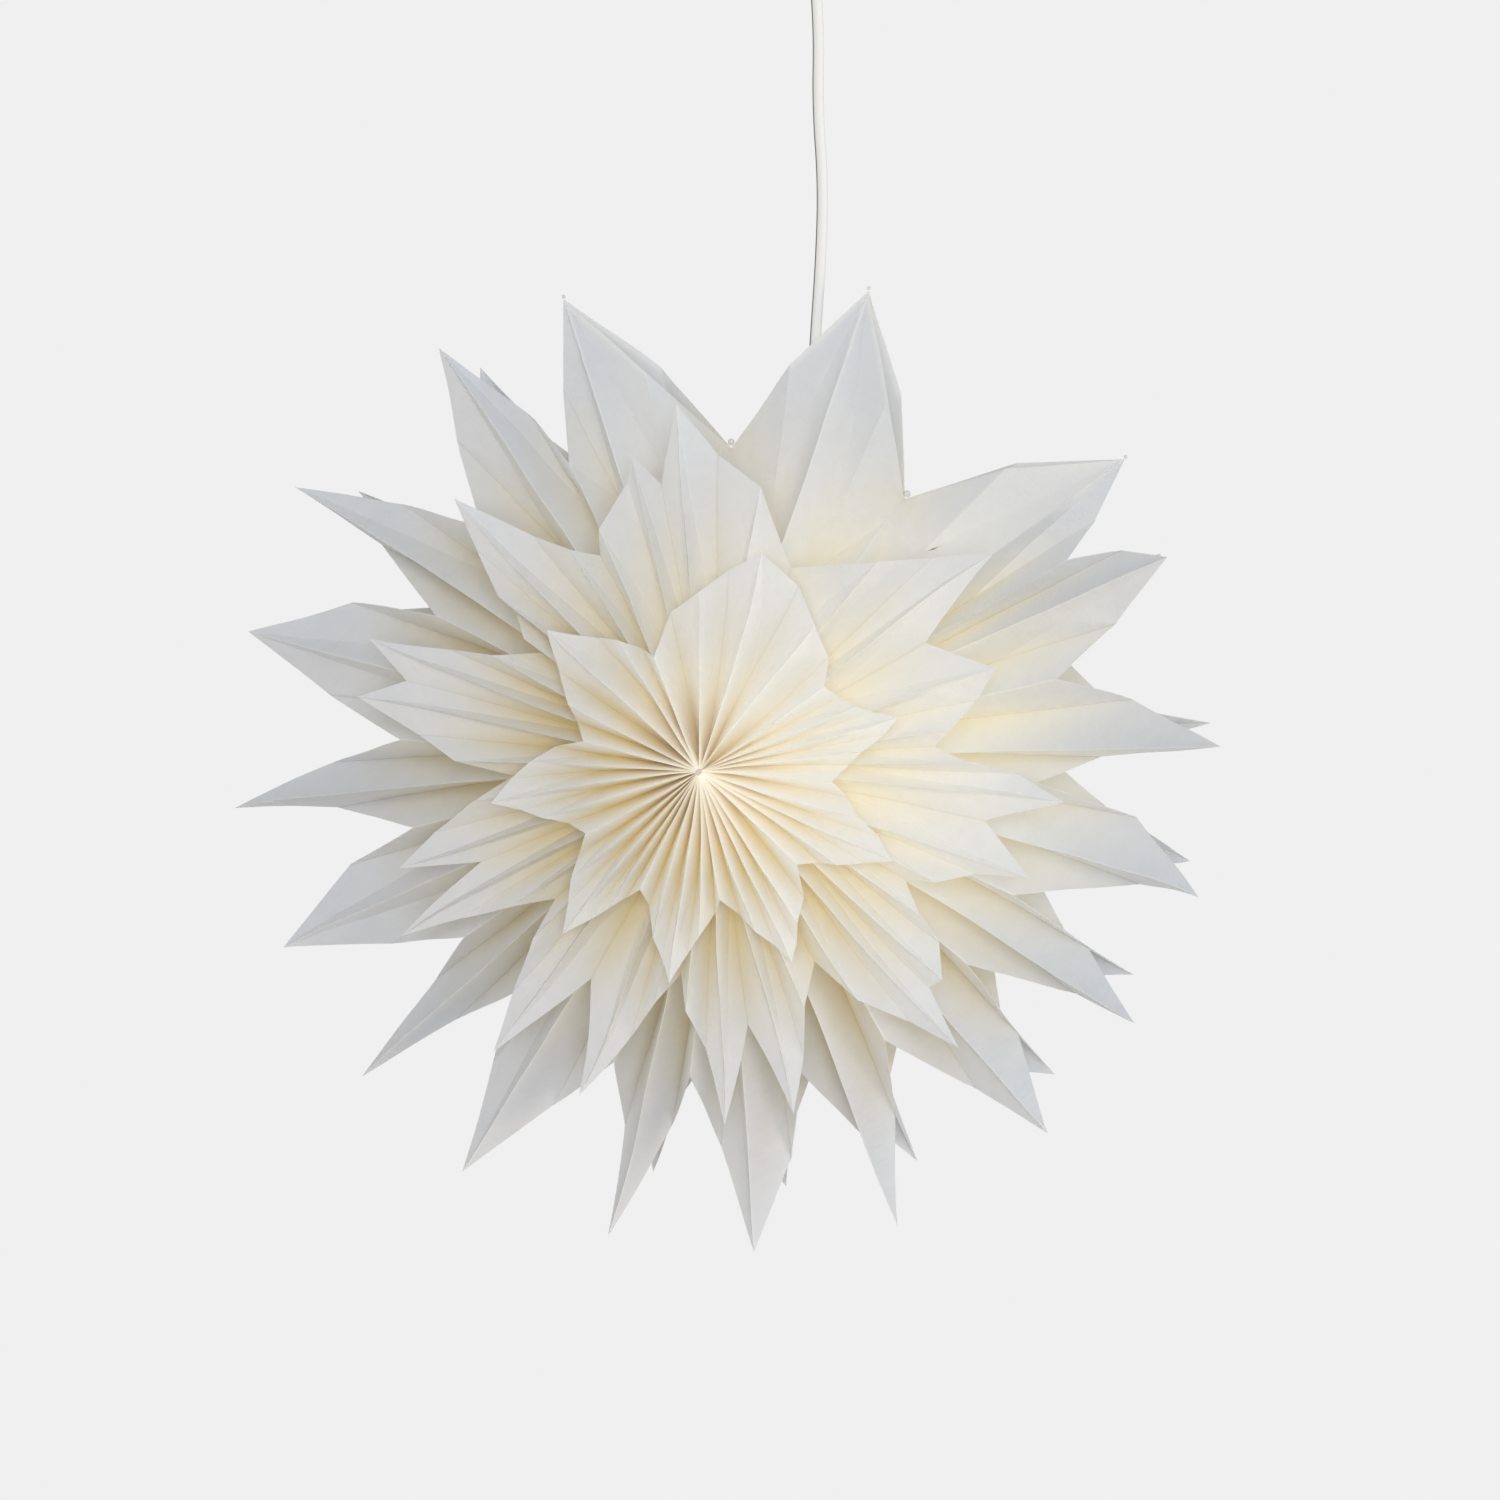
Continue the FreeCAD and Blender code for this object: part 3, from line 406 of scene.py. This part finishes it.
def crease_folds(mesh):
    """Marks the folds, so that subdivision keeps them and smooths each facet between them, and
    gives every vertex its crest value: 1 on a ridge and 0 in a valley."""
    crease = mesh.edges.layers.float.new("crease_edge")
    crest = mesh.verts.layers.float.new("crest")
    folds = {edge for edge in mesh.edges
             if len(edge.link_faces) == 2 and edge.calc_face_angle() > math.radians(FOLD_ANGLE)}
    for edge in folds:
        edge[crease] = 1.0
        edge.smooth = False
    for vertex in mesh.verts:
        here = [edge for edge in vertex.link_edges if edge in folds and runs_outward(edge)]
        ridges = sum(1 for edge in here if edge.is_convex)
        vertex[crest] = ridges / len(here) if here else 0.5
    bmesh.ops.join_triangles(mesh, faces=mesh.faces,
                             angle_face_threshold=math.radians(FOLD_ANGLE),
                             angle_shape_threshold=math.radians(180))


def rim_tips(mesh):
    """The outline's points, as angle and distance: rim vertices further out than both
    neighbours."""
    tips = []
    for vertex in mesh.verts:
        rim = [edge.other_vert(vertex) for edge in vertex.link_edges if edge.is_boundary]
        radius = from_axis(vertex.co)[1]
        if len(rim) == 2 and all(from_axis(other.co)[1] < radius - TIP_RISE for other in rim):
            tips.append(from_axis(vertex.co))
    return tips


def curl_tips(mesh, tips, way, rng):
    """Bends each tip a little way or the other way along Y, and sideways, as handled paper does."""
    bends = []
    for tip_angle, tip_radius in tips:
        out = rng.uniform(-0.5, 1.0) * CURL_MOST
        aside = rng.uniform(-1.0, 1.0) * CURL_MOST
        bends.append((tip_angle, tip_radius, out, aside))
    for vertex in mesh.verts:
        angle, radius = from_axis(vertex.co)
        nearest = min(bends, key=lambda bend: abs(math.remainder(bend[0] - angle, 2 * math.pi)))
        _, tip_radius, out, aside = nearest
        share = 1 - (tip_radius - radius) / CURL_LENGTH
        if share > 0:
            share = min(share, 1.0) ** 2
            vertex.co.y += way * out * share
            vertex.co.x += -math.sin(angle) * aside * share
            vertex.co.z += math.cos(angle) * aside * share


def gather(mesh):
    """Bunches the folds unevenly round the knot: they are turned about the axis near it, and stay
    where they are at the rim."""
    for vertex in mesh.verts:
        angle, radius = from_axis(vertex.co)
        share = max(1 - radius / GATHER_REACH, 0.0)
        turn = share * sum(most * math.sin(times * angle + phase)
                           for times, most, phase in GATHERS)
        vertex.co.x = STAR.x + radius * math.cos(angle + turn)
        vertex.co.z = STAR.z + radius * math.sin(angle + turn)


def buckle(mesh, seed):
    """Slow unevenness of the facets, none at the gathered centre."""
    for vertex in mesh.verts:
        away = min(from_axis(vertex.co)[1] / BUCKLE_START, 1.0)
        wave = noise.noise_vector(vertex.co * BUCKLE_RATE + Vector((seed, 0, 0)))
        vertex.co += wave * BUCKLE * away


def subdivided(mesh, name):
    """The mesh as an object's data, with the folds kept sharp by a subdivision surface."""
    data = bpy.data.meshes.new(name)
    mesh.to_mesh(data)
    mesh.free()
    normals = data.attributes.get("custom_normal")
    if normals:
        data.attributes.remove(normals)
    piece = bpy.data.objects.new(name, data)
    bpy.context.scene.collection.objects.link(piece)
    smooth = piece.modifiers.new("smooth", "SUBSURF")
    smooth.levels = SMOOTHING
    smooth.render_levels = SMOOTHING
    smooth.boundary_smooth = "ALL"
    apply_modifiers(piece)
    return piece


def apply_modifiers(piece):
    """Makes the modified shape the object's own mesh."""
    graph = bpy.context.evaluated_depsgraph_get()
    shaped = bpy.data.meshes.new_from_object(piece.evaluated_get(graph))
    piece.modifiers.clear()
    piece.data = shaped


def paper_sheet(half, size, side, material, seed):
    """One pleated sheet: smooth facets between crisp folds, uneven, with curled tips. The two
    large sheets are glued to each other, so they get the same seed and curl the same way."""
    node = half + "_" + size + "_rosette"
    rng = random.Random(seed)
    way = -1 if size == "large" else side
    mesh = outer_skin(node, side)
    tips = rim_tips(mesh)
    crease_folds(mesh)
    piece = subdivided(mesh, half + "_" + size + "_paper")
    mesh = bmesh.new()
    mesh.from_mesh(piece.data)
    curl_tips(mesh, tips, way, rng)
    gather(mesh)
    buckle(mesh, seed)
    mesh.to_mesh(piece.data)
    mesh.free()
    skin_faces = len(piece.data.polygons)
    edge = piece.modifiers.new("cut_edge", "SOLIDIFY")
    edge.thickness = PAPER
    edge.offset = -1.0
    edge.use_rim = True
    edge.use_rim_only = True
    apply_modifiers(piece)
    for face in piece.data.polygons:
        face.use_smooth = face.index < skin_faces
    piece.data.materials.clear()
    piece.data.materials.append(material)
    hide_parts(node)
    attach(piece, "root")


# ---------------------------------------------------------------- cord

def cord_material():
    """Soft white cover with a grey line of shade down its left side."""
    material, tree = new_material("cord_cover")
    normal = add(tree, "ShaderNodeNewGeometry").outputs["Normal"]
    leftness = measure(tree, "DOT_PRODUCT", normal, CORD_SHADE_SIDE)
    shade = ramp(tree, leftness, 0.74, 0.90)
    tone = mix_colour(tree, shade, colour(0.91, 0.905, 0.89), colour(0.15, 0.145, 0.14))
    shader = add(tree, "ShaderNodeBsdfPrincipled", {"Base Color": tone, "Roughness": 0.5})
    output(tree, shader.outputs[0])
    return material


def cord(material):
    """The free cord, on one smooth line through the air from lampholder to ceiling cup."""
    curve = bpy.data.curves.new("mains_cord", "CURVE")
    curve.dimensions = "3D"
    curve.bevel_depth = CORD_RADIUS
    curve.bevel_resolution = 6
    curve.resolution_u = 16
    curve.use_fill_caps = True
    spline = curve.splines.new("NURBS")
    spline.points.add(len(CORD_POINTS) - 1)
    for point, (x, z) in zip(spline.points, CORD_POINTS):
        point.co = (x, 0.0, z, 1.0)
    spline.order_u = 3
    spline.use_endpoint_u = True
    piece = bpy.data.objects.new("mains_cord", curve)
    bpy.context.scene.collection.objects.link(piece)
    curve.materials.append(material)
    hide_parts("cord")
    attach(piece, "root")


# ---------------------------------------------------------------- camera, light, backdrop

def back_vector(azimuth, elevation):
    """From the star towards a place round it. Azimuth 0 is in front and 90 on the right."""
    a = math.radians(azimuth)
    e = math.radians(elevation)
    return Vector((math.sin(a) * math.cos(e), -math.cos(a) * math.cos(e), math.sin(e)))


def camera():
    """The photograph's viewing angle and framing."""
    data = bpy.data.cameras.new("camera")
    piece = bpy.data.objects.new("camera", data)
    bpy.context.scene.collection.objects.link(piece)
    back = back_vector(CAMERA_AZIMUTH, CAMERA_ELEVATION)
    rotation = back.to_track_quat("Z", "Y")
    right = rotation @ Vector((1, 0, 0))
    up = rotation @ Vector((0, 1, 0))
    aim = STAR + right * CAMERA_SHIFT[0] + up * CAMERA_SHIFT[1]
    piece.location = aim + back * CAMERA_DISTANCE
    piece.rotation_mode = "QUATERNION"
    piece.rotation_quaternion = rotation
    data.angle = 2 * math.radians(CAMERA_HALF_ANGLE)
    data.clip_start = 0.01
    data.clip_end = 50.0
    bpy.context.scene.camera = piece


def soft_light(name, azimuth, elevation, strength, spread, tint):
    """Far light from a wide patch of the surroundings, spread degrees across."""
    data = bpy.data.lights.new(name, "SUN")
    data.energy = strength
    data.angle = math.radians(spread)
    data.color = tint
    piece = bpy.data.objects.new(name, data)
    bpy.context.scene.collection.objects.link(piece)
    piece.location = STAR + back_vector(azimuth, elevation) * CAMERA_DISTANCE
    piece.rotation_mode = "QUATERNION"
    piece.rotation_quaternion = back_vector(azimuth, elevation).to_track_quat("Z", "Y")


def bulb_light():
    """The lit bulb: a glowing ball at the place of its glass, at the lower end of the bulb."""
    low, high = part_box("bulb")
    data = bpy.data.lights.new("bulb_light", "POINT")
    data.energy = BULB_POWER
    data.color = BULB_TINT
    data.shadow_soft_size = BULB_RADIUS
    piece = bpy.data.objects.new("bulb_light", data)
    bpy.context.scene.collection.objects.link(piece)
    piece.location = ((low[0] + high[0]) / 2, 0.0, low[2] + BULB_RADIUS)


def floor(seen):
    """Plain pale floor, far below the hanging lamp. Only the camera sees it, so that it neither
    lights the paper nor throws shade on it."""
    mesh = bmesh.new()
    bmesh.ops.create_grid(mesh, x_segments=1, y_segments=1, size=FLOOR_SIZE / 2)
    data = bpy.data.meshes.new("floor")
    mesh.to_mesh(data)
    mesh.free()
    material, tree = new_material("floor")
    material.cycles.emission_sampling = "NONE"
    shown = add(tree, "ShaderNodeEmission", {"Color": colour(*seen), "Strength": 1.0})
    output(tree, shown.outputs[0])
    data.materials.append(material)
    piece = bpy.data.objects.new("floor", data)
    bpy.context.scene.collection.objects.link(piece)
    piece.location = (STAR.x, STAR.y, STAR.z - FLOOR_DROP)
    piece.visible_diffuse = False
    piece.visible_glossy = False
    piece.visible_transmission = False
    piece.visible_shadow = False


def world(light, seen):
    """Even light from all round, and a pale plain background for what the camera sees."""
    scene_world = bpy.data.worlds.new("world")
    bpy.context.scene.world = scene_world
    scene_world.use_nodes = True
    tree = scene_world.node_tree
    tree.nodes.clear()
    rays = add(tree, "ShaderNodeLightPath")
    lit = add(tree, "ShaderNodeBackground", {"Color": colour(*light), "Strength": 1.0})
    shown = add(tree, "ShaderNodeBackground", {"Color": colour(*seen), "Strength": 1.0})
    choice = add(tree, "ShaderNodeMixShader", {
        0: rays.outputs["Is Camera Ray"], 1: lit.outputs[0], 2: shown.outputs[0],
    })
    add(tree, "ShaderNodeOutputWorld", {"Surface": choice.outputs[0]})


# ---------------------------------------------------------------- the lamp

camera()
cord(cord_material())

noise.seed_set(NOISE_SEED)
for side, half in ((-1, "front"), (1, "back")):
    for place, (size, warmth) in enumerate(SHEETS.items()):
        material = paper_material(half + "_" + size + "_paper", *warmth)
        paper_sheet(half, size, side, material, SHEET_SEED_STEP * place)

white_plastic = principled("white_plastic", (0.82, 0.82, 0.80), 0.32, grain=(600.0, 0.05))
steel = principled("zinc_steel", (0.62, 0.63, 0.64), 0.38, metallic=1.0, grain=(1500.0, 0.08))
brass = principled("contact_metal", (0.78, 0.60, 0.30), 0.3, metallic=1.0)
wire = principled("spring_wire", (0.55, 0.55, 0.56), 0.3, metallic=1.0)
card = principled("card", (0.62, 0.53, 0.40), 0.85, grain=(1200.0, 0.3), mottle=0.15)
thread = principled("thread", (0.90, 0.80, 0.68), 0.9, grain=(2500.0, 0.5), mottle=0.2)
glue = principled("glue", (0.86, 0.85, 0.80), 0.2, grain=(300.0, 0.2))
core = principled("core", (0.78, 0.76, 0.70), 0.6)
opal = principled("bulb_glass", (0.95, 0.90, 0.80), 0.2,
                  **{"Emission Color": colour(1.0, 0.80, 0.52), "Emission Strength": 1.2})

FINISHES = {
    "front_centre_thread": thread, "back_centre_thread": thread,
    "front_card_washer": card, "back_card_washer": card,
    "glue_dots": glue, "hanger_wire": wire, "bulb": opal,
    "lampholder_shell": white_plastic, "lampholder_dome": white_plastic,
    "cord_clamp": white_plastic, "lampholder_sleeve": brass, "centre_contact": brass,
    "contact_block": core, "ceiling_cup": white_plastic, "cup_bush": white_plastic,
    "terminal_block": white_plastic, "ceiling_strap": steel, "cup_screws": steel,
}
for name, material in FINISHES.items():
    data = nodes[name].data
    data.materials.clear()
    data.materials.append(material)

for soft in SOFT_LIGHTS:
    soft_light(*soft)
bulb_light()
world(ALL_ROUND_LIGHT, BACKDROP)
floor(BACKDROP)

scene = bpy.context.scene
scene.view_settings.view_transform = "Standard"
